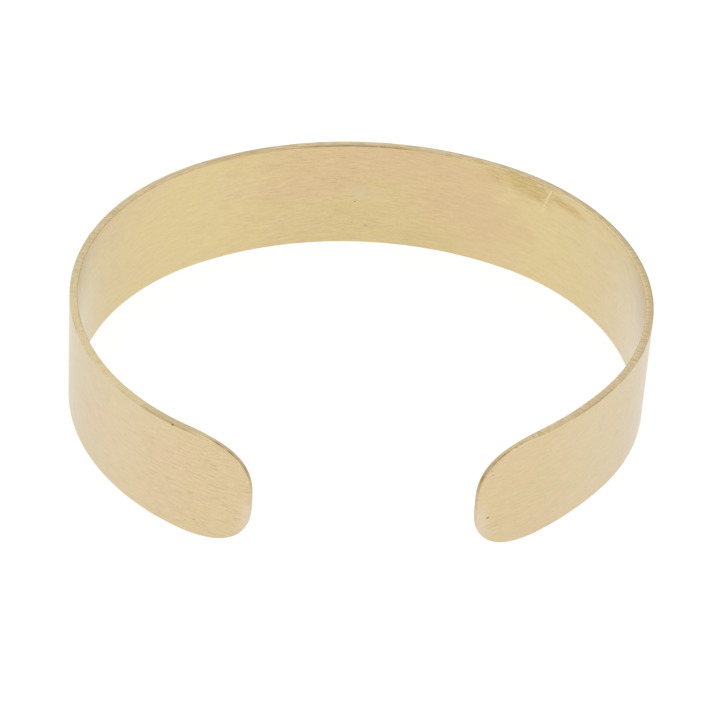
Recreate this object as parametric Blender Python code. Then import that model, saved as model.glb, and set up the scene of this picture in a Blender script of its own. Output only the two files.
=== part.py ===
"""Cuff bracelet: one flat strip of sheet brass with rounded ends, bent to an oval with an open gap.

Metres, +Z up. The cuff lies on its side edge at z = 0 with the wrist's hollow upright and the gap towards -Y.
The origin is the middle of its footprint.

The strip is drawn flat first. A point there has a distance along the strip from the back's middle, a height from
the strip's middle line, and an offset outward from its middle surface. Then it is bent round a chain of arcs.
"""

import math

import bmesh
import bpy
from mathutils import Vector

MM = 0.001

# The flat strip
STRIP_WIDTH = 12.7 * MM
STRIP_THICKNESS = 0.81 * MM
EDGE_ROUNDING = 0.12 * MM

# The strip's rounded ends: how far from the end the rounding starts, the flat left in the middle of the end,
# and how square the rounding is, where 2 is an ellipse
END_LENGTH = 7.2 * MM
END_FLAT = 1.0 * MM
END_SQUARENESS = 2.5

# The ends' edges are filed rounder: the rounding there, and the length of each end over which it grows
END_EDGE_ROUNDING = 0.28 * MM
FILED_LENGTH = 2.5 * MM

# Bends of the strip's middle surface, seen from above. The cuff was bent by hand, so its sides differ a little
BACK_RADIUS = 33.3 * MM
BACK_HALF_ANGLE = math.radians(30.4)
RIGHT_SIDE_RADIUS = 24.1 * MM
RIGHT_SIDE_ANGLE = math.radians(98.5)
LEFT_SIDE_RADIUS = 25.3 * MM
LEFT_SIDE_ANGLE = math.radians(114.8)
ARM_RADIUS = 38.2 * MM

# The gap between the two ends, and how far its middle lies to the left of the back's middle
GAP = 21.7 * MM
GAP_OFFSET = 1.26 * MM

# Fineness of the faceted surface
COLUMN_SPACING = 1.5 * MM
CORNER_COLUMNS = 11
EDGE_SEGMENTS = 2
SHARP_ANGLE = math.radians(20)

# Raw brushed brass, with colour values in linear light
BRASS_COLOUR = (0.66, 0.50, 0.26, 1.0)
BRASS_ROUGHNESS = 0.38
BRASS_METALLIC = 1.0


def clear_scene():
    """Removes every object that the file opens with."""
    for old in list(bpy.data.objects):
        bpy.data.objects.remove(old, do_unlink=True)


def side_arcs(side_radius, side_angle, reach):
    """Arcs of one side, from the back's middle to where it comes back to the distance reach from the middle.

    The back's middle is the origin and the side runs towards +X. Each arc is its centre, its radius and the
    turns of the strip at its start and its end, where turn 0 faces +Y.
    """
    bends = ((BACK_RADIUS, BACK_HALF_ANGLE), (side_radius, side_angle), (ARM_RADIUS, math.pi))
    arcs = []
    centre = Vector((0.0, -BACK_RADIUS))
    radius = BACK_RADIUS
    turn = 0.0
    for next_radius, angle in bends:
        centre += (radius - next_radius) * Vector((math.sin(turn), math.cos(turn)))
        radius = next_radius
        share = (reach - centre.x) / radius
        last_turn = math.pi - math.asin(max(-1.0, min(1.0, share)))
        end_turn = min(turn + angle, last_turn)
        arcs.append((centre.copy(), radius, turn, end_turn))
        turn = end_turn
        if end_turn == last_turn:
            break
    return arcs


def arcs_length(arcs):
    """Length of the strip along a chain of arcs."""
    return sum(radius * (end_turn - turn) for centre, radius, turn, end_turn in arcs)


def bent_place(left_arcs, right_arcs, along, height, offset):
    """Place in the bent cuff of a point of the flat strip, with the back's middle as the origin."""
    sign, arcs = (1.0, right_arcs) if along >= 0.0 else (-1.0, left_arcs)
    remaining = abs(along)
    for centre, radius, turn, end_turn in arcs:
        here = turn + remaining / radius
        if here <= end_turn:
            break
        remaining -= radius * (end_turn - turn)
    x = centre.x + (radius + offset) * math.sin(here)
    y = centre.y + (radius + offset) * math.cos(here)
    return Vector((sign * x, y, STRIP_WIDTH / 2 + height))


def edge_rounding(into_end):
    """Rounding of the edges at a distance past the start of the strip's rounded end."""
    grown = max(0.0, min(1.0, into_end / FILED_LENGTH))
    rounding = EDGE_ROUNDING + (END_EDGE_ROUNDING - EDGE_ROUNDING) * grown
    return min(rounding, 0.4 * STRIP_THICKNESS)


def side_outline(half_length):
    """Upper outline of one side of the flat strip, from the back's middle to the end.

    Each point is its distance along the strip, its height, the outline's outward direction there, and the
    rounding of the edges there.
    """
    straight = half_length - END_LENGTH
    drop = (STRIP_WIDTH - END_FLAT) / 2
    power = 2 / END_SQUARENESS
    count = max(2, math.ceil(straight / COLUMN_SPACING))
    up = Vector((0.0, 1.0))
    points = [(straight * i / count, STRIP_WIDTH / 2, up, edge_rounding(0.0)) for i in range(count + 1)]
    for i in range(1, CORNER_COLUMNS + 1):
        angle = math.pi / 2 * i / CORNER_COLUMNS
        sine, cosine = math.sin(angle), max(0.0, math.cos(angle))
        into_end = END_LENGTH * sine ** power
        height = STRIP_WIDTH / 2 - drop * (1.0 - cosine ** power)
        outward = Vector((sine ** (2 - power) / END_LENGTH, cosine ** (2 - power) / drop)).normalized()
        points.append((straight + into_end, height, outward, edge_rounding(into_end)))
    return points


def mirrored(points, along_sign, height_sign):
    """Outline points mirrored along the strip, across it, or both, in the opposite order."""
    made = []
    for along, height, outward, rounding in reversed(points):
        turned = Vector((along_sign * outward.x, height_sign * outward.y))
        made.append((along_sign * along, height_sign * height, turned, rounding))
    return made


def strip_outline(left_length, right_length):
    """Outline of the flat strip: its upper edge from the left end to the right end, then its lower edge back."""
    left = mirrored(side_outline(left_length), -1.0, 1.0)
    upper = left[:-1] + side_outline(right_length)
    return upper + mirrored(upper, 1.0, -1.0)


def rim_profile(rounding):
    """Section of the rim from the outer face round to the inner face.

    Each point is its distance in from the strip's outline, and its offset outward from the middle surface.
    """
    corner = []
    for i in range(EDGE_SEGMENTS + 1):
        angle = math.pi / 2 * i / EDGE_SEGMENTS
        inset = rounding * (1.0 - math.sin(angle))
        corner.append((inset, STRIP_THICKNESS / 2 - rounding * (1.0 - math.cos(angle))))
    return corner + [(inset, -offset) for inset, offset in reversed(corner)]


def band_rings():
    """Rings of points round the bent strip, one for each point of the rim's section."""
    right_arcs = side_arcs(RIGHT_SIDE_RADIUS, RIGHT_SIDE_ANGLE, GAP / 2 - GAP_OFFSET)
    left_arcs = side_arcs(LEFT_SIDE_RADIUS, LEFT_SIDE_ANGLE, GAP / 2 + GAP_OFFSET)
    sections = []
    for along, height, outward, rounding in strip_outline(arcs_length(left_arcs), arcs_length(right_arcs)):
        section = []
        for inset, offset in rim_profile(rounding):
            flat_along = along - inset * outward.x
            flat_height = height - inset * outward.y
            section.append(bent_place(left_arcs, right_arcs, flat_along, flat_height, offset))
        sections.append(section)
    return [list(ring) for ring in zip(*sections)]


def footprint_middle(rings):
    """Middle of the cuff's box in plan."""
    xs = [place.x for ring in rings for place in ring]
    ys = [place.y for ring in rings for place in ring]
    return Vector(((min(xs) + max(xs)) / 2, (min(ys) + max(ys)) / 2, 0.0))


def band_mesh():
    """Closed mesh of the bent strip: its rim from ring to ring, and its two faces from upper to lower edge."""
    rings = band_rings()
    middle = footprint_middle(rings)
    bm = bmesh.new()
    rows = [[bm.verts.new(place - middle) for place in ring] for ring in rings]
    count = len(rows[0])
    for near, far in zip(rows, rows[1:]):
        for i in range(count):
            following = (i + 1) % count
            bm.faces.new((near[i], near[following], far[following], far[i]))
    for row in (rows[0], rows[-1]):
        for i in range(count // 2 - 1):
            bm.faces.new((row[i], row[i + 1], row[count - 2 - i], row[count - 1 - i]))
    bmesh.ops.recalc_face_normals(bm, faces=bm.faces)
    mesh = bpy.data.meshes.new("cuff_band")
    bm.to_mesh(mesh)
    bm.free()
    mesh.shade_smooth()
    mesh.set_sharp_from_angle(angle=SHARP_ANGLE)
    return mesh


def brass():
    """Raw brushed brass."""
    material = bpy.data.materials.new("brass")
    material.use_nodes = True
    shader = material.node_tree.nodes["Principled BSDF"]
    shader.inputs["Base Color"].default_value = BRASS_COLOUR
    shader.inputs["Roughness"].default_value = BRASS_ROUGHNESS
    shader.inputs["Metallic"].default_value = BRASS_METALLIC
    return material


def main():
    """Builds the cuff's band in a collection of its own."""
    clear_scene()
    collection = bpy.data.collections.new("cuff_bracelet")
    bpy.context.scene.collection.children.link(collection)
    band = bpy.data.objects.new("cuff_band", band_mesh())
    band.data.materials.append(brass())
    collection.objects.link(band)


main()
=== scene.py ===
import math

import bmesh
import bpy
from mathutils import Matrix, Vector


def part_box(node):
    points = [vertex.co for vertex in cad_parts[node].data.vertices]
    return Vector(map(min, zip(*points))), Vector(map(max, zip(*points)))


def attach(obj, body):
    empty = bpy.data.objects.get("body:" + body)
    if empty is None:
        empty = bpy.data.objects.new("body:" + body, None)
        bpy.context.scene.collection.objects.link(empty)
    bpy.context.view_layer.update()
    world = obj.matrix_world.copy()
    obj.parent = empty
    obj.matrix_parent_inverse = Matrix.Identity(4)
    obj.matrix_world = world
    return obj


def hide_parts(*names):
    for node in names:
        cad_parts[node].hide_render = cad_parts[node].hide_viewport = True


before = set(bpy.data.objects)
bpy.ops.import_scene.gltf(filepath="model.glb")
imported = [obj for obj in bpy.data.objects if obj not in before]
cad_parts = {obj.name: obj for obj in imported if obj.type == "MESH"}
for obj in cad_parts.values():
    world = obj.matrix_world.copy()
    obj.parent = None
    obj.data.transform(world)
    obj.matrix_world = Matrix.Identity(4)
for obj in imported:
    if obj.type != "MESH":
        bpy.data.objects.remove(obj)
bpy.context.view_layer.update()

MM = 0.001

# The flat strip, with its width read from the frame's band
BAND_LOW, BAND_HIGH = (Vector(corner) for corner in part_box("cuff_band"))
STRIP_WIDTH = BAND_HIGH.z - BAND_LOW.z
STRIP_THICKNESS = 0.81 * MM
EDGE_ROUNDING = 0.12 * MM

# Its rounded ends, and the rounder edges there
END_LENGTH = 7.2 * MM
END_FLAT = 1.0 * MM
END_SQUARENESS = 2.5
END_EDGE_ROUNDING = 0.28 * MM
FILED_LENGTH = 2.5 * MM

# Bends of the strip's middle surface, the same as the CAD band's
BACK_RADIUS = 33.3 * MM
BACK_HALF_ANGLE = math.radians(30.4)
RIGHT_SIDE_RADIUS = 24.1 * MM
RIGHT_SIDE_ANGLE = math.radians(98.5)
LEFT_SIDE_RADIUS = 25.3 * MM
LEFT_SIDE_ANGLE = math.radians(114.8)
ARM_RADIUS = 38.2 * MM
GAP = 21.7 * MM
GAP_OFFSET = 1.26 * MM

# Fineness of the visible surface. ROWS is even, so that a row ends in the middle of the strip's end
COLUMN_SPACING = 0.6 * MM
CORNER_COLUMNS = 24
ROWS = 8
EDGE_SEGMENTS = 4
SAME_PLACE = 0.001 * MM

# The bake's map: how much of the strip its side shows, and the space between two pieces of it
MAP_SIDE = 83.0 * MM
MAP_SPACE = 1.2 * MM

# The photograph's camera: where it aims, how far it is, and how it is turned
AIM = Vector((-0.10, -3.17, 6.35)) * MM
CAMERA_DISTANCE = 401.9 * MM
CAMERA_ELEVATION = math.radians(38.52)
CAMERA_AZIMUTH = math.radians(-5.59)
CAMERA_ROLL = math.radians(-3.90)
CAMERA_LENS = 198.8
CAMERA_SENSOR = 36.0
CAMERA_CLIPS = (10 * MM, 20.0)


# The bent strip

def side_arcs(side_radius, side_angle, reach):
    """Arcs of one side from the back's middle to the distance reach from the middle line, as in the CAD."""
    bends = ((BACK_RADIUS, BACK_HALF_ANGLE), (side_radius, side_angle), (ARM_RADIUS, math.pi))
    arcs = []
    centre = Vector((0.0, -BACK_RADIUS))
    radius = BACK_RADIUS
    turn = 0.0
    for next_radius, angle in bends:
        centre += (radius - next_radius) * Vector((math.sin(turn), math.cos(turn)))
        radius = next_radius
        last_turn = math.pi - math.asin((reach - centre.x) / radius)
        end_turn = min(turn + angle, last_turn)
        arcs.append((centre.copy(), radius, turn, end_turn))
        turn = end_turn
    return arcs


def arcs_length(arcs):
    """Length of the strip along a chain of arcs."""
    return sum(radius * (end_turn - turn) for centre, radius, turn, end_turn in arcs)


RIGHT_ARCS = side_arcs(RIGHT_SIDE_RADIUS, RIGHT_SIDE_ANGLE, GAP / 2 - GAP_OFFSET)
LEFT_ARCS = side_arcs(LEFT_SIDE_RADIUS, LEFT_SIDE_ANGLE, GAP / 2 + GAP_OFFSET)
RIGHT_LENGTH = arcs_length(RIGHT_ARCS)
LEFT_LENGTH = arcs_length(LEFT_ARCS)


def bent_place(along, height, offset):
    """Place of the flat strip's point in the bent cuff, with the outward and lengthwise directions there."""
    sign, arcs = (1.0, RIGHT_ARCS) if along >= 0.0 else (-1.0, LEFT_ARCS)
    remaining = abs(along)
    for centre, radius, turn, end_turn in arcs:
        here = turn + remaining / radius
        if here <= end_turn:
            break
        remaining -= radius * (end_turn - turn)
    outward = Vector((sign * math.sin(here), math.cos(here), 0.0))
    lengthwise = Vector((math.cos(here), -sign * math.sin(here), 0.0))
    place = Vector((sign * centre.x, centre.y, STRIP_WIDTH / 2 + height)) + outward * (radius + offset)
    return place, outward, lengthwise


def into_end(along):
    """How far a place lies past the start of the rounded end on its side. It is below 0 before that start."""
    side_length = RIGHT_LENGTH if along >= 0.0 else LEFT_LENGTH
    return abs(along) - (side_length - END_LENGTH)


def edge_rounding(along):
    """Rounding of the strip's edges at a distance along it from the back's middle."""
    grown = max(0.0, min(1.0, into_end(along) / FILED_LENGTH))
    return EDGE_ROUNDING + (END_EDGE_ROUNDING - EDGE_ROUNDING) * grown


def side_outline(length):
    """Upper outline of one side of the flat strip, from the back's middle to the end.

    Each point is its distance along the strip, its height, and the outline's outward direction there.
    """
    straight = length - END_LENGTH
    drop = (STRIP_WIDTH - END_FLAT) / 2
    power = 2 / END_SQUARENESS
    count = math.ceil(straight / COLUMN_SPACING)
    points = [(straight * i / count, STRIP_WIDTH / 2, Vector((0.0, 1.0))) for i in range(count + 1)]
    for i in range(1, CORNER_COLUMNS + 1):
        angle = math.pi / 2 * i / CORNER_COLUMNS
        sine, cosine = math.sin(angle), max(0.0, math.cos(angle))
        outward = Vector((sine ** (2 - power) / END_LENGTH, cosine ** (2 - power) / drop)).normalized()
        height = STRIP_WIDTH / 2 - drop * (1.0 - cosine ** power)
        points.append((straight + END_LENGTH * sine ** power, height, outward))
    return points


def mirrored(points, along_sign, height_sign):
    """Outline points mirrored along the strip, across it, or both, in the opposite order."""
    made = []
    for along, height, outward in reversed(points):
        turned = Vector((along_sign * outward.x, height_sign * outward.y))
        made.append((along_sign * along, height_sign * height, turned))
    return made


def strip_outline():
    """Outline of the flat strip: upper edge from left to right, right end, lower edge back, and left end.

    Returns it with the number of columns, which the upper and the lower edge each have.
    """
    upper = mirrored(side_outline(LEFT_LENGTH), -1.0, 1.0)[:-1] + side_outline(RIGHT_LENGTH)
    levels = [END_FLAT / 2 * (1.0 - 2.0 * row / ROWS) for row in range(1, ROWS)]
    right_end = [(RIGHT_LENGTH, level, Vector((1.0, 0.0))) for level in levels]
    left_end = [(-LEFT_LENGTH, level, Vector((-1.0, 0.0))) for level in reversed(levels)]
    return upper + right_end + mirrored(upper, 1.0, -1.0) + left_end, len(upper)


def rim_profile(rounding):
    """Section of the rim from the outer face round to the inner face.

    Each point is its distance in from the strip's outline, its offset outward from the middle surface, the
    shares of the outline's direction and of the offset's direction in the surface's normal, and its distance
    along the section from the middle of the nearer corner.
    """
    corner = []
    for i in range(EDGE_SEGMENTS + 1):
        angle = math.pi / 2 * i / EDGE_SEGMENTS
        sine, cosine = math.sin(angle), math.cos(angle)
        offset = STRIP_THICKNESS / 2 - rounding * (1.0 - cosine)
        corner.append((rounding * (1.0 - sine), offset, sine, cosine, rounding * abs(angle - math.pi / 4)))
    to_middle = rounding * math.pi / 4 + STRIP_THICKNESS / 2 - rounding
    other = [(inset, -offset, sine, -cosine, away) for inset, offset, sine, cosine, away in reversed(corner)]
    return corner + [(0.0, 0.0, 1.0, 0.0, to_middle)] + other


def edge_distance(along, height):
    """Distance of a place on the flat strip from the strip's outline, close to it."""
    drop = (STRIP_WIDTH - END_FLAT) / 2
    x = max(0.0, into_end(along)) / END_LENGTH
    y = max(0.0, abs(height) - END_FLAT / 2) / drop
    if x == 0.0:
        return STRIP_WIDTH / 2 - abs(height)
    return drop * (1.0 - (x ** END_SQUARENESS + y ** END_SQUARENESS) ** (1.0 / END_SQUARENESS))


class Band:
    """The visible band's mesh, built from the flat strip, with each vertex's place on that strip."""

    def __init__(self):
        self.bm = bmesh.new()
        self.map = self.bm.loops.layers.uv.new("OFBake")
        self.flat = []
        self.rims = []
        self.normals = []

    def vertex(self, along, height, offset, rim, normal):
        """Adds a vertex, with its normal given along the strip, up, and outward.

        Its rim values are its distance along the surface from the nearer corner of the rim, and its tilt, the
        share of the outline's direction in its normal.
        """
        place, outward, lengthwise = bent_place(along, height, offset)
        self.flat.append((along, height, offset))
        self.rims.append(rim)
        self.normals.append(lengthwise * normal[0] + Vector((0.0, 0.0, normal[1])) + outward * normal[2])
        return self.bm.verts.new(place)

    def face(self, corners, places):
        """Adds a face with its corners' places in the bake's map."""
        face = self.bm.faces.new(corners)
        face.smooth = True
        for loop, place in zip(face.loops, places):
            loop[self.map].uv = Vector(place) / MAP_SIDE

    def rings(self, outline):
        """Rings of vertices round the strip, one for each point of the rim's section."""
        sections = [rim_profile(edge_rounding(along)) for along, height, outward in outline]
        made = []
        for k in range(len(sections[0])):
            ring = []
            for (along, height, outward), section in zip(outline, sections):
                inset, offset, beside, facing, away = section[k]
                place = (along - inset * outward.x, height - inset * outward.y, offset)
                normal = (outward.x * beside, outward.y * beside, facing)
                ring.append(self.vertex(*place, (away, beside), normal))
            made.append(ring)
        return made

    def rim(self, rings, outline, first_row):
        """Faces of the rim between its rings, in four lengths that meet at the back's and ends' middles."""
        depths = []
        for along, height, outward in outline:
            section = rim_profile(edge_rounding(along))
            depth = [0.0]
            for near, far in zip(section, section[1:]):
                depth.append(depth[-1] + math.hypot(far[0] - near[0], far[1] - near[1]))
            depths.append(depth)
        row = first_row
        run = MAP_SPACE
        for i, (along, height, outward) in enumerate(outline):
            following = (i + 1) % len(outline)
            next_along, next_height = outline[following][:2]
            if min(abs(along), abs(height)) < SAME_PLACE and i > 0:
                row += max(depth[-1] for depth in depths) + MAP_SPACE
                run = MAP_SPACE
            next_run = run + math.hypot(next_along - along, next_height - height)
            for k in range(len(rings) - 1):
                corners = (rings[k][i], rings[k][following], rings[k + 1][following], rings[k + 1][i])
                self.face(corners, (
                    (run, row + depths[i][k]),
                    (next_run, row + depths[following][k]),
                    (next_run, row + depths[following][k + 1]),
                    (run, row + depths[i][k + 1]),
                ))
            run = next_run

    def side(self, ring, columns, facing, first_row):
        """One face of the strip, in rows of faces between its upper and its lower edge."""
        offset = facing * STRIP_THICKNESS / 2
        lower = columns + ROWS - 1
        grid = []
        for i in range(columns):
            bottom_vertex = ring[lower + columns - 1 - i]
            top, bottom = self.flat[ring[i].index], self.flat[bottom_vertex.index]
            column = [ring[i]]
            for row in range(1, ROWS):
                if i == 0:
                    column.append(ring[len(ring) - row])
                elif i == columns - 1:
                    column.append(ring[columns + row - 1])
                else:
                    height = top[1] + (bottom[1] - top[1]) * row / ROWS
                    rounding = edge_rounding(top[0])
                    beyond = max(0.0, edge_distance(top[0], height) - rounding)
                    rim = (rounding * math.pi / 4 + beyond, 0.0)
                    column.append(self.vertex(top[0], height, offset, rim, (0.0, 0.0, facing)))
            column.append(bottom_vertex)
            grid.append(column)
        self.bm.verts.index_update()
        for left, right in zip(grid, grid[1:]):
            for row in range(ROWS):
                corners = (left[row], right[row], right[row + 1], left[row + 1])
                flat = [self.flat[corner.index] for corner in corners]
                middle_row = first_row + STRIP_WIDTH / 2
                if sum(place[0] for place in flat) >= 0.0:
                    middle_row += STRIP_WIDTH + MAP_SPACE
                self.face(corners, [(abs(place[0]) + MAP_SPACE, middle_row + place[1]) for place in flat])

    def mesh(self):
        """The finished mesh, with the vertices' places on the strip kept for the material."""
        bmesh.ops.recalc_face_normals(self.bm, faces=self.bm.faces)
        mesh = bpy.data.meshes.new("cuff_brass_band")
        self.bm.to_mesh(mesh)
        self.bm.free()
        spans = [[vertex.co[axis] for vertex in mesh.vertices] for axis in range(2)]
        middle = [(min(span) + max(span)) / 2 for span in spans]
        mesh.transform(Matrix.Translation((-middle[0], -middle[1], 0.0)))
        places = mesh.attributes.new("strip_mm", "FLOAT_VECTOR", "POINT")
        places.data.foreach_set("vector", [number / MM for place in self.flat for number in place])
        rims = mesh.attributes.new("rim_mm", "FLOAT_VECTOR", "POINT")
        values = [(away / MM, tilt, 0.0) for away, tilt in self.rims]
        rims.data.foreach_set("vector", [number for value in values for number in value])
        mesh.normals_split_custom_set_from_vertices(self.normals)
        return mesh


def band_mesh():
    """The strip as a closed mesh, with its thickness, its rounded edges and its map for the bake."""
    outline, columns = strip_outline()
    band = Band()
    rings = band.rings(outline)
    band.bm.verts.index_update()
    two_halves = 2 * (STRIP_WIDTH + MAP_SPACE)
    band.side(rings[0], columns, 1.0, MAP_SPACE)
    band.side(rings[-1], columns, -1.0, MAP_SPACE + two_halves)
    band.rim(rings, outline, MAP_SPACE + 2 * two_halves)
    return band.mesh()


# Material helpers

# How far a noise's shift moves it along the strip, up and outward
SHIFT_WAYS = (1.0, 1.7, 2.3)


class Graph:
    """Adds nodes to a material, one call for each."""

    def __init__(self, material):
        material.use_nodes = True
        self.nodes = material.node_tree.nodes
        self.links = material.node_tree.links
        self.nodes.clear()

    def add(self, kind, **settings):
        """Adds a node and sets its settings."""
        node = self.nodes.new(kind)
        for name, value in settings.items():
            setattr(node, name, value)
        return node

    def feed(self, socket, value):
        """Links an output to a socket, or sets the socket's own value."""
        if isinstance(value, bpy.types.NodeSocket):
            self.links.new(value, socket)
        elif value is not None:
            socket.default_value = value

    def split(self, vector):
        """The three numbers of a vector."""
        node = self.add("ShaderNodeSeparateXYZ")
        self.feed(node.inputs[0], vector)
        return tuple(node.outputs)

    def math(self, operation, a, b=None, c=None):
        """The result of one calculation."""
        node = self.add("ShaderNodeMath", operation=operation)
        for socket, value in zip(node.inputs, (a, b, c)):
            self.feed(socket, value)
        return node.outputs[0]

    def product(self, *values):
        """The product of several values."""
        found = values[0]
        for value in values[1:]:
            found = self.math("MULTIPLY", found, value)
        return found

    def largest(self, masks):
        """The largest of several masks."""
        found = masks[0]
        for mask in masks[1:]:
            found = self.math("MAXIMUM", found, mask)
        return found

    def between(self, ends, share):
        """A number that a share from 0 to 1 moves from the first of two numbers to the second."""
        low, high = ends
        return self.math("MULTIPLY_ADD", share, high - low, low)

    def step(self, value, low, high, to_low=0.0, to_high=1.0):
        """A smooth step from to_low to to_high, as a value goes from low to high."""
        node = self.add("ShaderNodeMapRange", interpolation_type="SMOOTHSTEP")
        for socket, number in zip(node.inputs, (value, low, high, to_low, to_high)):
            self.feed(socket, number)
        return node.outputs["Result"]

    def grey(self, value):
        """A grey colour from a number."""
        node = self.add("ShaderNodeCombineXYZ")
        for socket in node.inputs:
            self.feed(socket, value)
        return node.outputs[0]

    def noise(self, vector, waves, detail, roughness, shift):
        """Noise from 0 to 1, with so many waves to a millimetre each way and a shift of its own."""
        scaled = self.add("ShaderNodeVectorMath", operation="MULTIPLY_ADD")
        self.feed(scaled.inputs[0], vector)
        self.feed(scaled.inputs[1], waves)
        self.feed(scaled.inputs[2], tuple(shift * way for way in SHIFT_WAYS))
        node = self.add("ShaderNodeTexNoise", noise_dimensions="3D")
        self.feed(node.inputs["Vector"], scaled.outputs[0])
        self.feed(node.inputs["Scale"], 1.0)
        self.feed(node.inputs["Detail"], detail)
        self.feed(node.inputs["Roughness"], roughness)
        return node.outputs["Fac"]

    def mix(self, amount, a, b, blend="MIX"):
        """Colour a changed towards colour b by an amount."""
        node = self.add("ShaderNodeMix", data_type="RGBA", blend_type=blend, clamp_factor=True)
        self.feed(node.inputs["Factor"], amount)
        colours = [socket for socket in node.inputs if socket.type == "RGBA"]
        self.feed(colours[0], a)
        self.feed(colours[1], b)
        return next(socket for socket in node.outputs if socket.type == "RGBA")

    def surface(self, inputs):
        """Finishes the material with a principled shader that has these inputs."""
        shader = self.add("ShaderNodeBsdfPrincipled")
        for name, value in inputs.items():
            self.feed(shader.inputs[name], value)
        output = self.add("ShaderNodeOutputMaterial")
        self.feed(output.inputs["Surface"], shader.outputs[0])


def linear(red, green, blue):
    """Linear colour from the values, 0 to 255, that a picture gives it."""
    def channel(value):
        value /= 255.0
        return value / 12.92 if value <= 0.04045 else ((value + 0.055) / 1.055) ** 2.4
    return (channel(red), channel(green), channel(blue), 1.0)


# Brushed brass

# Colours of the metal: both faces, the outer face's tips, and the warm and deep parts of the inner face
BRASS = linear(222, 202, 160)
BRASS_OUTER = linear(221, 202, 163)
BRASS_TIP = linear(219, 197, 155)
BRASS_WARM = linear(222, 202, 150)
BRASS_DEEP = linear(216, 194, 142)

# Colours of the tints and the brushing
CLOUD_ROSE = linear(221, 195, 158)
CLOUD_OLIVE = linear(215, 198, 148)
ROSE = linear(218, 189, 147)
GOLD = linear(222, 203, 146)
OLIVE = linear(214, 194, 140)
SMUDGE = linear(200, 170, 106)
# Painted sheen: the pale that the inner face shows near the cuff's limbs, where light grazes it
LIMB_PAINTED_SHEEN = linear(240, 231, 212)
# Painted highlight: the pale lower curve of each round end
END_PAINTED_HIGHLIGHT = linear(226, 209, 190)
STREAK = linear(190, 162, 114)
DASH = linear(196, 162, 124)

# Colours of the small marks
PALE = linear(238, 226, 192)
PALE_GREEN = linear(206, 202, 168)
SPECK = linear(100, 68, 42)
DARK_LINE = linear(118, 94, 58)

# Colours of the cut rim
RIM_BRASS = linear(217, 198, 158)
RIM_OLIVE = linear(217, 200, 157)
RIM_SHADE = linear(194, 170, 126)
RIM_LIT = linear(224, 205, 160)
RIM_GRIT = linear(184, 163, 116)
# Painted shade on the upper half of the rim round the ends
RIM_END_SHADE = linear(150, 122, 72)

# Noises, as waves to a millimetre along the strip, up and outward, then detail, roughness and shift
NOISES = {
    "mottle": ((0.35, 0.8, 0.9), 3.0, 0.6, 8.4),
    "clouds": ((0.09, 0.22, 0.9), 3.0, 0.55, 3.1),
    "broad grain": ((0.6, 4.0, 4.0), 3.0, 0.6, 21.0),
    "fine grain": ((1.1, 8.5, 8.5), 3.0, 0.65, 37.0),
    "sandy grain": ((3.0, 5.0, 5.0), 1.0, 0.5, 127.0),
    "hair lines": ((1.6, 17.0, 17.0), 2.0, 0.6, 53.0),
    "dashes": ((0.8, 5.5, 5.5), 2.0, 0.55, 113.0),
    "ragged scratch": ((5.0, 5.0, 5.0), 2.0, 0.5, 61.0),
    "rim cross cuts": ((4.2, 0.9, 0.9), 3.0, 0.6, 71.0),
    "rim grit": ((6.0, 6.0, 6.0), 2.0, 0.6, 83.0),
    "rim lines": ((0.7, 1.0, 5.0), 3.0, 0.6, 101.0),
    "line breaks": ((0.8, 2.0, 0.5), 2.0, 0.6, 97.0),
}

# Every smooth step below is given as where it starts, where it is full and, if these aren't 0 and 1, its
# values at both. Places along the strip are millimetres from the back's middle, and the left side is below 0

# The round ends, and how much tilt the rim starts at and blends over, away from the ends and at them
ROUND_ENDS = (69.0, 71.0)
RIM_STARTS = (0.2, 0.85)
RIM_BLENDS = (0.6, 0.13)

# Spots and lines: how uneven a spot's border is, how it fades, and the share of a line's width that is full
SPOT_WOBBLE = 1.3
SPOT_BORDER = (1.35, 0.35)
LINE_CORE = 0.2

# How busy the brushing is, and what the left end, the right end and the back's middle add
BUSY_EVERYWHERE = 0.55
BUSY_LEFT_END = (-58.0, -70.0, 0.0, 0.45)
BUSY_RIGHT_END = (60.0, 72.0, 0.0, 0.12)
BUSY_BACK = (18.0, 6.0, 0.0, 0.45)

# The grain, as shares of broad, fine and sandy noise, and how it shades the metal
GRAIN_SHARES = (0.45, 0.35, 0.2)
GRAIN_SHADE = (0.30, 0.70, -0.078, 0.066)

# Streaks and dashes lie where both their own noise and the mottle are high
STREAK_IN_GRAIN = (0.60, 0.72)
STREAK_IN_MOTTLE = (0.42, 0.62)
STREAK_STRENGTH = 0.25
DASH_IN_NOISE = (0.54, 0.68)
DASH_IN_MOTTLE = (0.38, 0.58)
DASH_STRENGTH = 0.38

# Tints of whole lengths of the strip. The clouds' strengths are those of the inner and the outer face
OUTER_TIPS = (60.0, 72.0)
WARMEST_AT = -4.0
WARM_BACK = (40.0, 26.0)
# The inner face's band near the limbs is painted sheen, not a tint of the metal
LIMB_SHEEN_STARTS = (31.0, 40.0)
LIMB_SHEEN_ENDS = (58.0, 46.0)
LIMB_SHEEN_STRENGTH = 0.25
ROSE_CLOUDS = (0.48, 0.68)
OLIVE_CLOUDS = (0.48, 0.30)
CLOUD_STRENGTHS = (0.3, 0.5)

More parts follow.
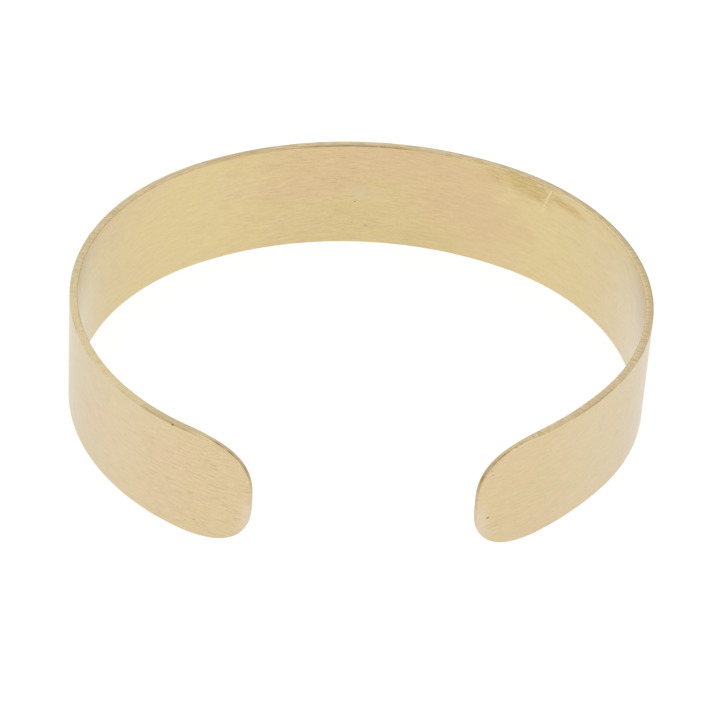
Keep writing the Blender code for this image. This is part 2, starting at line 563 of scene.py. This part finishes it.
# Patches of tint on the inner face, as place along, height, half length, half height and slant in degrees
DEEP_PATCHES = ((3.0, 0.0, 16.0, 30.0, 0.0),)
ROSE_PATCHES = (
    (4.0, 4.2, 14.0, 2.8, 0.0),
    (-3.5, 1.6, 7.0, 2.2, 5.0),
    (12.5, 0.0, 8.0, 3.2, -15.0),
)
OLIVE_PATCHES = ((1.5, -3.2, 5.5, 2.4, 0.0), (8.0, -4.0, 5.0, 1.8, -10.0))
SMUDGE_PATCHES = ((19.5, 5.3, 4.5, 1.5, -4.0), (24.8, 5.2, 3.4, 0.6, -5.0))
GOLD_PATCHES = ((34.0, 5.9, 8.0, 1.8, 0.0), (-43.0, 5.9, 6.0, 1.6, 0.0))
PALE_PATCHES = ((1.1, 0.2, 0.9, 0.8, 0.0),)
ROSE_STRENGTH = 0.85
OLIVE_STRENGTH = 0.7
SMUDGE_STRENGTH = 0.7
GOLD_STRENGTH = 0.6
PALE_PATCH_STRENGTH = 0.35
SMUDGE_IN_GRAIN = (0.35, 0.60, 1.0, 0.5)

# The painted highlight near each end: how near the outline, how near the end, and its upper and lower borders
END_HIGHLIGHT_OUTLINE = (1.3, 0.2)
END_HIGHLIGHT_ALONG = (73.5, 75.6)
END_HIGHLIGHT_TOP = (1.0, -1.5)
END_HIGHLIGHT_FOOT = (-5.0, -3.0)
END_HIGHLIGHT_STRENGTH = 0.5

# Pale scratches on the inner face: two ends and half width. They fade downward
SCRATCHES = (
    ((22.6, 6.05), (21.6, 2.9), 0.20),
    ((20.8, 6.05), (21.9, 6.15), 0.10),
)
SCRATCH_RAGGEDNESS = 0.5
SCRATCH_BY_HEIGHT = (2.6, 5.6, 0.35, 1.0)
SCRATCH_STRENGTH = 0.45

# Hairline scratches on the outer face: two ends and half width
HAIRLINES = (
    ((73.1, -2.45), (75.9, -2.75), 0.05),
    ((74.0, -3.0), (75.5, -3.15), 0.04),
    ((-71.2, 3.6), (-70.3, 3.55), 0.04),
)
HAIRLINE_STRENGTH = 0.3

# Small dark pits, as side (1 outer, -1 inner), place along, height, half length, half height and strength
PITS = (
    (1, -67.02, 6.25, 0.13, 0.10, 1.0),
    (1, -69.75, -4.40, 0.16, 0.05, 0.7),
    (1, 75.50, -1.65, 0.22, 0.08, 0.9),
    (1, 75.36, 3.70, 0.09, 0.07, 0.45),
    (1, 75.51, 4.25, 0.07, 0.06, 0.35),
    (1, 72.70, 6.06, 0.11, 0.08, 1.0),
    (-1, 0.68, -0.95, 0.09, 0.07, 0.8),
    (-1, 0.46, -3.75, 0.10, 0.05, 0.45),
    (-1, 2.00, -4.10, 0.28, 0.12, 0.25),
    (-1, 15.99, 5.00, 0.10, 0.14, 0.30),
    (-1, 16.05, 5.55, 0.08, 0.08, 0.30),
)

# The rim is shaded on its inner half at the back. Places across the rim are millimetres outward from the
# strip's middle surface
INNER_SHADE_ACROSS = (0.20, -0.25)
INNER_SHADE_ALONG = (22.0, 10.0)
INNER_SHADE_STRENGTH = (-8.0, 2.0, 0.12, 0.3)

# It is shaded on its outer half on both sides, and on neither half on the left arm
OUTER_SHADE_ACROSS = (-0.38, 0.10)
OUTER_SHADE_LEFT = (-14.0, -26.0, 0.0, 0.18)
OUTER_SHADE_RIGHT = (12.0, 26.0)
OUTER_SHADE_RIGHT_STRENGTH = (44.0, 56.0, 0.5, 0.3)
NO_SHADE_ON_LEFT_ARM = (-48.0, -40.0)

# Whole lengths of the rim that are darker, as place along and half length. They reach over all its height
RIM_SHADES = ((-67.0, 4.5), (-12.5, 6.0))
RIM_SHADE_HALF_HEIGHT = 9.0
RIM_SHADE_STRENGTH = 0.6

# The rim's inner half is paler on the right side
LIT_ACROSS = (0.0, -0.35)
LIT_STARTS = (20.0, 30.0)
LIT_ENDS = (54.0, 46.0)
LIT_STRENGTH = 0.35

# The rim's olive left arm, its rough cut, and painted shade at the upper half of the ends
OLIVE_LEFT_ARM = (-34.0, -44.0)
ROUGH_SIDES = (20.0, 34.0)
GRIT_IN_CUT = (0.45, 0.60)
GRIT_STRENGTH = (-44.0, -34.0, 0.35, 0.7)
END_SHADE_ALONG = (70.0, 73.0)
END_SHADE_BY_HEIGHT = (0.5, 4.0)
END_SHADE_STRENGTH = 0.25

# Stretches of the top edge whose corner is dark, as side, start, end, fading length and strength
DARK_STRETCHES = (
    (-1, -40.0, 18.0, 8.0, 0.08),
    (-1, -13.0, 15.0, 7.0, 0.25),
    (-1, -7.0, 8.0, 3.0, 0.55),
    # Painted shade: this stretch darkens the light line that the rounded inner corner catches here
    (-1, 16.0, 26.0, 4.0, 0.15),
    (1, -74.8, -70.0, 1.8, 0.85),
    (1, -70.0, -62.0, 1.5, 0.40),
    (1, 6.0, 48.0, 5.0, 0.45),
    (1, 58.5, 66.0, 1.5, 0.30),
    (1, 71.0, 75.8, 1.5, 0.70),
)

# The dark line's border along the edges and at the ends, the tilt it needs there, where it breaks, and how
# faint it is in the breaks, away from the ends and at them
EDGE_LINE = (0.18, 0.04)
END_LINE = (0.11, 0.03)
END_LINE_TILT = (0.80, 0.95)
LINE_BREAKS = (0.38, 0.56)
LINE_FAINTEST = (0.65, 0.25)

# A faint dark line that both corners have in places, but the inner one not on the right side
FAINT_LINE_IN_MOTTLE = (0.50, 0.66)
FAINT_LINE_ALONG = (24.0, 14.0)
FAINT_LINE_STRENGTH = 0.2

# Roughness by the grain, and what the rim, the dark marks and the scratches add
GRAIN_ROUGHNESS = (0.25, 0.75, 0.38, 0.28)
RIM_ROUGHER = 0.10
MARKS_ROUGHER = 0.12
SCRATCHES_ROUGHER = -0.12

# Heights of the relief in millimetres, with the hair lines' share in the brushed lines
BRUSHED_HEIGHT = 0.0018
HAIR_SHARE = 0.6
CUT_HEIGHT = 0.006
MARK_HEIGHT = -0.02

# A soft coat and a held-back tint at grazing angles give the pale limbs of the cuff, with painted sheen added
# on the inner face
EDGE_TINT = (0.85, 0.85, 0.85, 1.0)
COAT_WEIGHT = 0.42
COAT_ROUGHNESS = 0.25


class Place:
    """Where the shaded point lies on the flat strip, in millimetres, with masks of the strip's parts."""

    def __init__(self, g):
        self.g = g
        self.strip = g.add("ShaderNodeAttribute", attribute_name="strip_mm").outputs["Vector"]
        self.along, self.height, self.out = g.split(self.strip)
        rim_place = g.add("ShaderNodeAttribute", attribute_name="rim_mm").outputs["Vector"]
        self.from_corner, self.tilt = g.split(rim_place)[:2]
        self.distance = g.math("ABSOLUTE", self.along)
        self.outer = g.math("GREATER_THAN", self.out, 0.0)
        self.inner = g.math("SUBTRACT", 1.0, self.outer)
        self.top = g.math("GREATER_THAN", self.height, 0.0)
        self.at_end = g.step(self.distance, *ROUND_ENDS)
        rim_start = g.between(RIM_STARTS, self.at_end)
        rim_full = g.math("ADD", rim_start, g.between(RIM_BLENDS, self.at_end))
        self.rim = g.step(self.tilt, rim_start, rim_full)
        self.faces = g.math("SUBTRACT", 1.0, self.rim)
        self.mottle = self.noise("mottle")
        self.wobble = g.math("MULTIPLY", g.math("SUBTRACT", self.mottle, 0.5), SPOT_WOBBLE)
        left_end = g.step(self.along, *BUSY_LEFT_END)
        right_end = g.step(self.along, *BUSY_RIGHT_END)
        near_back = g.step(self.distance, *BUSY_BACK)
        self.busy = g.math("ADD", g.largest([left_end, right_end, near_back]), BUSY_EVERYWHERE)

    def noise(self, name):
        """One of the named noises on the strip."""
        return self.g.noise(self.strip, *NOISES[name])

    def face_of(self, side):
        """The mask of the outer face for side 1, or of the inner one for side -1."""
        return self.outer if side > 0 else self.inner


def soft_spot(g, place, spot):
    """An oval mask with a soft, uneven border."""
    at_along, at_height, half_length, half_height, slant = spot
    cosine, sine = math.cos(math.radians(slant)), math.sin(math.radians(slant))
    x = g.math("SUBTRACT", place.along, at_along)
    y = g.math("SUBTRACT", place.height, at_height)
    across = g.math("MULTIPLY_ADD", x, cosine / half_length, g.math("MULTIPLY", y, sine / half_length))
    up = g.math("MULTIPLY_ADD", x, -sine / half_height, g.math("MULTIPLY", y, cosine / half_height))
    far = g.math("SQRT", g.math("ADD", g.math("POWER", across, 2.0), g.math("POWER", up, 2.0)))
    return g.step(g.math("ADD", far, place.wobble), *SPOT_BORDER)


def inner_spots(g, place, spots):
    """A mask of several soft spots on the inner face."""
    return g.product(g.largest([soft_spot(g, place, spot) for spot in spots]), place.inner)


def line_mask(g, place, line, raggedness=0.0):
    """A mask along the straight line between two places."""
    start, end, half_width = line
    run = Vector(end) - Vector(start)
    length = run.length
    run.normalize()
    x = g.math("SUBTRACT", place.along, start[0])
    y = g.math("SUBTRACT", place.height, start[1])
    forward = g.math("MULTIPLY_ADD", x, run.x, g.math("MULTIPLY", y, run.y))
    beyond = g.math("SUBTRACT", g.math("ABSOLUTE", g.math("SUBTRACT", forward, length / 2)), length / 2)
    sideways = g.math("ABSOLUTE", g.math("MULTIPLY_ADD", x, -run.y, g.math("MULTIPLY", y, run.x)))
    far = g.math("ADD", sideways, g.math("MAXIMUM", beyond, 0.0))
    return g.step(g.math("ADD", far, raggedness), half_width, half_width * LINE_CORE)


def scratch_mask(g, place):
    """A mask of the pale scratches on the inner face."""
    ragged = g.math("MULTIPLY", g.math("SUBTRACT", place.noise("ragged scratch"), 0.5), SCRATCH_RAGGEDNESS)
    scratches = g.largest([line_mask(g, place, line, ragged) for line in SCRATCHES])
    return g.product(scratches, place.inner, g.step(place.height, *SCRATCH_BY_HEIGHT))


def hairline_mask(g, place):
    """A mask of the hairline scratches on the outer face."""
    return g.product(g.largest([line_mask(g, place, line) for line in HAIRLINES]), place.outer)


def pit_mask(g, place):
    """A mask of the small dark pits."""
    spots = []
    for side, at_along, at_height, half_length, half_height, strength in PITS:
        spot = soft_spot(g, place, (at_along, at_height, half_length, half_height, 0.0))
        spots.append(g.product(spot, place.face_of(side), strength))
    return g.product(g.largest(spots), place.faces)


def end_highlight_mask(g, place):
    """A mask of the painted highlight near each end: a pale patch below the middle of its outline."""
    near_outline = g.step(place.from_corner, *END_HIGHLIGHT_OUTLINE)
    near_end = g.product(near_outline, g.step(place.distance, *END_HIGHLIGHT_ALONG))
    below = g.product(g.step(place.height, *END_HIGHLIGHT_TOP), g.step(place.height, *END_HIGHLIGHT_FOOT))
    return g.product(near_end, below, END_HIGHLIGHT_STRENGTH)


def mixed_grain(g, place, fine):
    """The grain, from 0 to 1: broad, fine and sandy noise together."""
    broad_share, fine_share, sandy_share = GRAIN_SHARES
    sandy = g.math("MULTIPLY", place.noise("sandy grain"), sandy_share)
    finer = g.math("MULTIPLY_ADD", fine, fine_share, sandy)
    return g.math("MULTIPLY_ADD", place.noise("broad grain"), broad_share, finer)


def cut_texture(g, place):
    """The rim's rough cut, from 0 to 1: lines along the back, and cross cuts with grit on the sides."""
    lines = place.noise("rim lines")
    gritty = g.math("MULTIPLY", g.math("ADD", place.noise("rim cross cuts"), place.noise("rim grit")), 0.5)
    on_sides = g.step(place.distance, *ROUGH_SIDES)
    return g.math("MULTIPLY_ADD", g.math("SUBTRACT", gritty, lines), on_sides, lines)


def tinted_metal(g, place, smudge):
    """Slow changes of the metal's tint, with the smudge and a painted sheen near the limbs on the inner face.
    """
    colour = g.mix(place.outer, BRASS, BRASS_OUTER)
    from_warmest = g.math("ABSOLUTE", g.math("ADD", place.along, -WARMEST_AT))
    warm = g.product(g.step(from_warmest, *WARM_BACK), place.inner)
    colour = g.mix(warm, colour, BRASS_WARM)
    tips = g.product(g.step(place.distance, *OUTER_TIPS), place.outer)
    colour = g.mix(tips, colour, BRASS_TIP)
    colour = g.mix(inner_spots(g, place, DEEP_PATCHES), colour, BRASS_DEEP)
    clouds = place.noise("clouds")
    strength = g.between(CLOUD_STRENGTHS, place.outer)
    colour = g.mix(g.product(g.step(clouds, *ROSE_CLOUDS), strength), colour, CLOUD_ROSE)
    colour = g.mix(g.product(g.step(clouds, *OLIVE_CLOUDS), strength), colour, CLOUD_OLIVE)
    colour = g.mix(g.product(inner_spots(g, place, OLIVE_PATCHES), OLIVE_STRENGTH), colour, OLIVE)
    colour = g.mix(g.product(inner_spots(g, place, ROSE_PATCHES), ROSE_STRENGTH), colour, ROSE)
    # Painted sheen: the inner face is paler near the cuff's limbs
    limbs = g.product(g.step(place.distance, *LIMB_SHEEN_STARTS), g.step(place.distance, *LIMB_SHEEN_ENDS), place.inner)
    colour = g.mix(g.product(limbs, LIMB_SHEEN_STRENGTH), colour, LIMB_PAINTED_SHEEN)
    colour = g.mix(g.product(inner_spots(g, place, GOLD_PATCHES), GOLD_STRENGTH), colour, GOLD)
    return g.mix(g.product(smudge, SMUDGE_STRENGTH), colour, SMUDGE)


def brushed(g, place, colour, grain, fine):
    """A colour with brushed grain, and with short streaks and dashes where the brushing is busy."""
    shade = g.math("MULTIPLY_ADD", g.step(grain, *GRAIN_SHADE), place.busy, 1.0)
    colour = g.mix(1.0, colour, g.grey(shade), "MULTIPLY")
    streaks = g.product(g.step(fine, *STREAK_IN_GRAIN), g.step(place.mottle, *STREAK_IN_MOTTLE), place.busy)
    colour = g.mix(g.product(streaks, STREAK_STRENGTH), colour, STREAK)
    busiest = g.product(place.busy, place.busy, place.busy)
    in_noise = g.step(place.noise("dashes"), *DASH_IN_NOISE)
    dashes = g.product(in_noise, g.step(place.mottle, *DASH_IN_MOTTLE), busiest, DASH_STRENGTH)
    return g.mix(dashes, colour, DASH)


def rim_shading(g, place):
    """A mask of the rim's shade: its inner half at the back, its outer half on the sides, and two lengths."""
    inner_along = g.step(place.along, *INNER_SHADE_ALONG)
    inner_strength = g.step(place.along, *INNER_SHADE_STRENGTH)
    inner_half = g.product(g.step(place.out, *INNER_SHADE_ACROSS), inner_along, inner_strength)
    right_strength = g.step(place.along, *OUTER_SHADE_RIGHT_STRENGTH)
    right_side = g.product(g.step(place.along, *OUTER_SHADE_RIGHT), right_strength)
    sides = g.math("ADD", g.step(place.along, *OUTER_SHADE_LEFT), right_side)
    outer_half = g.product(g.step(place.out, *OUTER_SHADE_ACROSS), sides)
    halves = g.product(g.math("MAXIMUM", inner_half, outer_half), g.step(place.along, *NO_SHADE_ON_LEFT_ARM))
    lengths = []
    for at_along, half_length in RIM_SHADES:
        spot = (at_along, STRIP_WIDTH / MM / 2, half_length, RIM_SHADE_HALF_HEIGHT, 0.0)
        lengths.append(soft_spot(g, place, spot))
    return g.math("MAXIMUM", halves, g.product(g.largest(lengths), RIM_SHADE_STRENGTH))


def rim_colour(g, place, rough_cut):
    """The cut rim: painted shade, grit, a painted paler inner half on the right side, and painted shade round
    the ends.
    """
    colour = g.mix(g.step(place.along, *OLIVE_LEFT_ARM), RIM_BRASS, RIM_OLIVE)
    colour = g.mix(rim_shading(g, place), colour, RIM_SHADE)
    grit = g.product(g.step(rough_cut, *GRIT_IN_CUT), g.step(place.along, *GRIT_STRENGTH))
    colour = g.mix(grit, colour, RIM_GRIT)
    right_side = g.product(g.step(place.along, *LIT_STARTS), g.step(place.along, *LIT_ENDS))
    lit = g.product(g.step(place.out, *LIT_ACROSS), right_side, LIT_STRENGTH)
    colour = g.mix(lit, colour, RIM_LIT)
    # Painted shade on the upper half of the rim round the ends
    ends = g.product(g.step(place.distance, *END_SHADE_ALONG), g.step(place.height, *END_SHADE_BY_HEIGHT))
    return g.mix(g.product(ends, END_SHADE_STRENGTH), colour, RIM_END_SHADE)


def dark_corner(g, place):
    """A mask of the dark corner between a face and the rim."""
    stretches = []
    for side, start, end, fading, strength in DARK_STRETCHES:
        beside = g.math("ABSOLUTE", g.math("SUBTRACT", place.along, (start + end) / 2))
        stretch = g.step(beside, (end - start) / 2, (end - start) / 2 - fading, 0.0, strength)
        stretches.append(g.product(stretch, place.face_of(side)))
    along_edge = g.step(place.from_corner, *EDGE_LINE)
    corner_to_rim = END_EDGE_ROUNDING / MM * math.pi / 4
    from_line = g.math("ABSOLUTE", g.math("SUBTRACT", place.from_corner, corner_to_rim))
    round_end = g.product(g.step(from_line, *END_LINE), g.step(place.tilt, *END_LINE_TILT))
    corner = g.math("MULTIPLY_ADD", g.math("SUBTRACT", round_end, along_edge), place.at_end, along_edge)
    faintest = g.between(LINE_FAINTEST, place.at_end)
    broken = g.step(place.noise("line breaks"), *LINE_BREAKS, faintest, 1.0)
    dark = g.product(corner, g.largest(stretches), broken, place.top)
    has_faint_line = g.math("MAXIMUM", place.outer, g.step(place.along, *FAINT_LINE_ALONG))
    in_mottle = g.step(place.mottle, *FAINT_LINE_IN_MOTTLE)
    faint = g.product(corner, in_mottle, has_faint_line, FAINT_LINE_STRENGTH)
    return g.math("MAXIMUM", dark, faint)


def brushed_brass():
    """Raw brass brushed along the strip, with the tints, marks and cut rim of the photographed cuff."""
    material = bpy.data.materials.new("brushed_brass")
    g = Graph(material)
    place = Place(g)
    fine = place.noise("fine grain")
    grain = mixed_grain(g, place, fine)
    rough_cut = cut_texture(g, place)
    smudge = g.product(inner_spots(g, place, SMUDGE_PATCHES), g.step(fine, *SMUDGE_IN_GRAIN))
    scratches = scratch_mask(g, place)
    hairlines = hairline_mask(g, place)
    pale_patch = inner_spots(g, place, PALE_PATCHES)
    pits = pit_mask(g, place)

    colour = tinted_metal(g, place, smudge)
    colour = brushed(g, place, colour, grain, fine)
    colour = g.mix(g.product(scratches, SCRATCH_STRENGTH), colour, PALE)
    colour = g.mix(g.product(pale_patch, PALE_PATCH_STRENGTH), colour, PALE_GREEN)
    colour = g.mix(g.product(hairlines, HAIRLINE_STRENGTH), colour, STREAK)
    colour = g.mix(place.rim, colour, rim_colour(g, place, rough_cut))
    # Painted highlight on the lower curve of each round end
    colour = g.mix(end_highlight_mask(g, place), colour, END_PAINTED_HIGHLIGHT)
    colour = g.mix(dark_corner(g, place), colour, DARK_LINE)
    colour = g.mix(pits, colour, SPECK)

    roughness = g.step(grain, *GRAIN_ROUGHNESS)
    roughness = g.math("MULTIPLY_ADD", place.rim, RIM_ROUGHER, roughness)
    roughness = g.math("MULTIPLY_ADD", g.math("MAXIMUM", smudge, pits), MARKS_ROUGHER, roughness)
    roughness = g.math("MULTIPLY_ADD", scratches, SCRATCHES_ROUGHER, roughness)

    lines = g.math("MULTIPLY_ADD", place.noise("hair lines"), HAIR_SHARE, fine)
    brushed_lines = g.product(lines, BRUSHED_HEIGHT, place.faces)
    cut = g.product(rough_cut, CUT_HEIGHT, place.rim)
    marks = g.math("MULTIPLY", g.largest([pits, scratches, hairlines]), MARK_HEIGHT)
    bump = g.add("ShaderNodeBump")
    g.feed(bump.inputs["Height"], g.math("ADD", g.math("ADD", brushed_lines, cut), marks))
    g.feed(bump.inputs["Strength"], 1.0)
    g.feed(bump.inputs["Distance"], MM)

    g.surface({
        "Base Color": colour,
        "Metallic": 1.0,
        "Roughness": roughness,
        "Normal": bump.outputs[0],
        "Specular Tint": EDGE_TINT,
        "Coat Weight": COAT_WEIGHT,
        "Coat Roughness": COAT_ROUGHNESS,
    })
    return material


def make_band():
    """The visible band, in place of the CAD one."""
    band = bpy.data.objects.new("cuff_brass_band", band_mesh())
    bpy.context.scene.collection.objects.link(band)
    band.data.materials.append(brushed_brass())
    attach(band, "root")
    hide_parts("cuff_band")


# Camera, floor and light

WHITE = (1.0, 1.0, 1.0, 1.0)
WORLD_GLOW = 0.95
FLOOR_SIZE = 3.0
FLOOR_GREY = (0.10, 0.10, 0.10, 1.0)
FLOOR_ROUGHNESS = 0.9
FLOOR_GLOW = 0.93

# Square soft boxes, as name, place, size and energy
SOFT_BOXES = (
    ("key", (-0.25, 0.15, 0.9), 1.0, 1.5),
    ("fill", (0.6, -0.5, 0.6), 0.8, 0.5),
)


def make_camera():
    """The camera at the photograph's angle."""
    back = Vector((
        math.sin(CAMERA_AZIMUTH) * math.cos(CAMERA_ELEVATION),
        -math.cos(CAMERA_AZIMUTH) * math.cos(CAMERA_ELEVATION),
        math.sin(CAMERA_ELEVATION),
    ))
    right = Vector((math.cos(CAMERA_AZIMUTH), math.sin(CAMERA_AZIMUTH), 0.0))
    up = back.cross(right)
    turned_up = up * math.cos(CAMERA_ROLL) + right * math.sin(CAMERA_ROLL)
    turned_right = right * math.cos(CAMERA_ROLL) - up * math.sin(CAMERA_ROLL)
    data = bpy.data.cameras.new("camera")
    data.lens = CAMERA_LENS
    data.sensor_width = CAMERA_SENSOR
    data.clip_start, data.clip_end = CAMERA_CLIPS
    camera = bpy.data.objects.new("camera", data)
    bpy.context.scene.collection.objects.link(camera)
    turned = Matrix((turned_right, turned_up, back)).transposed()
    camera.matrix_world = Matrix.Translation(AIM + back * CAMERA_DISTANCE) @ turned.to_4x4()
    bpy.context.scene.camera = camera


def make_floor():
    """A plain white floor that glows a little, as a lit table does under the cuff."""
    bm = bmesh.new()
    bmesh.ops.create_grid(bm, x_segments=1, y_segments=1, size=FLOOR_SIZE)
    mesh = bpy.data.meshes.new("floor")
    bm.to_mesh(mesh)
    bm.free()
    floor = bpy.data.objects.new("floor", mesh)
    bpy.context.scene.collection.objects.link(floor)
    material = bpy.data.materials.new("pale_floor")
    Graph(material).surface({
        "Base Color": FLOOR_GREY,
        "Roughness": FLOOR_ROUGHNESS,
        "Specular IOR Level": 0.0,
        "Emission Color": WHITE,
        "Emission Strength": FLOOR_GLOW,
    })
    mesh.materials.append(material)


def soft_box(name, place, size, energy):
    """A square light that faces the cuff."""
    data = bpy.data.lights.new(name, "AREA")
    data.shape = "SQUARE"
    data.size = size
    data.energy = energy
    light = bpy.data.objects.new(name, data)
    bpy.context.scene.collection.objects.link(light)
    light.location = place
    light.rotation_euler = (-Vector(place)).to_track_quat("-Z", "Y").to_euler()


def make_light():
    """A white studio all round, with its soft boxes."""
    world = bpy.data.worlds.new("studio")
    world.use_nodes = True
    background = world.node_tree.nodes["Background"]
    background.inputs["Color"].default_value = WHITE
    background.inputs["Strength"].default_value = WORLD_GLOW
    bpy.context.scene.world = world
    for name, place, size, energy in SOFT_BOXES:
        soft_box(name, place, size, energy)
    bpy.context.scene.view_settings.view_transform = "Standard"


make_band()
make_camera()
make_floor()
make_light()
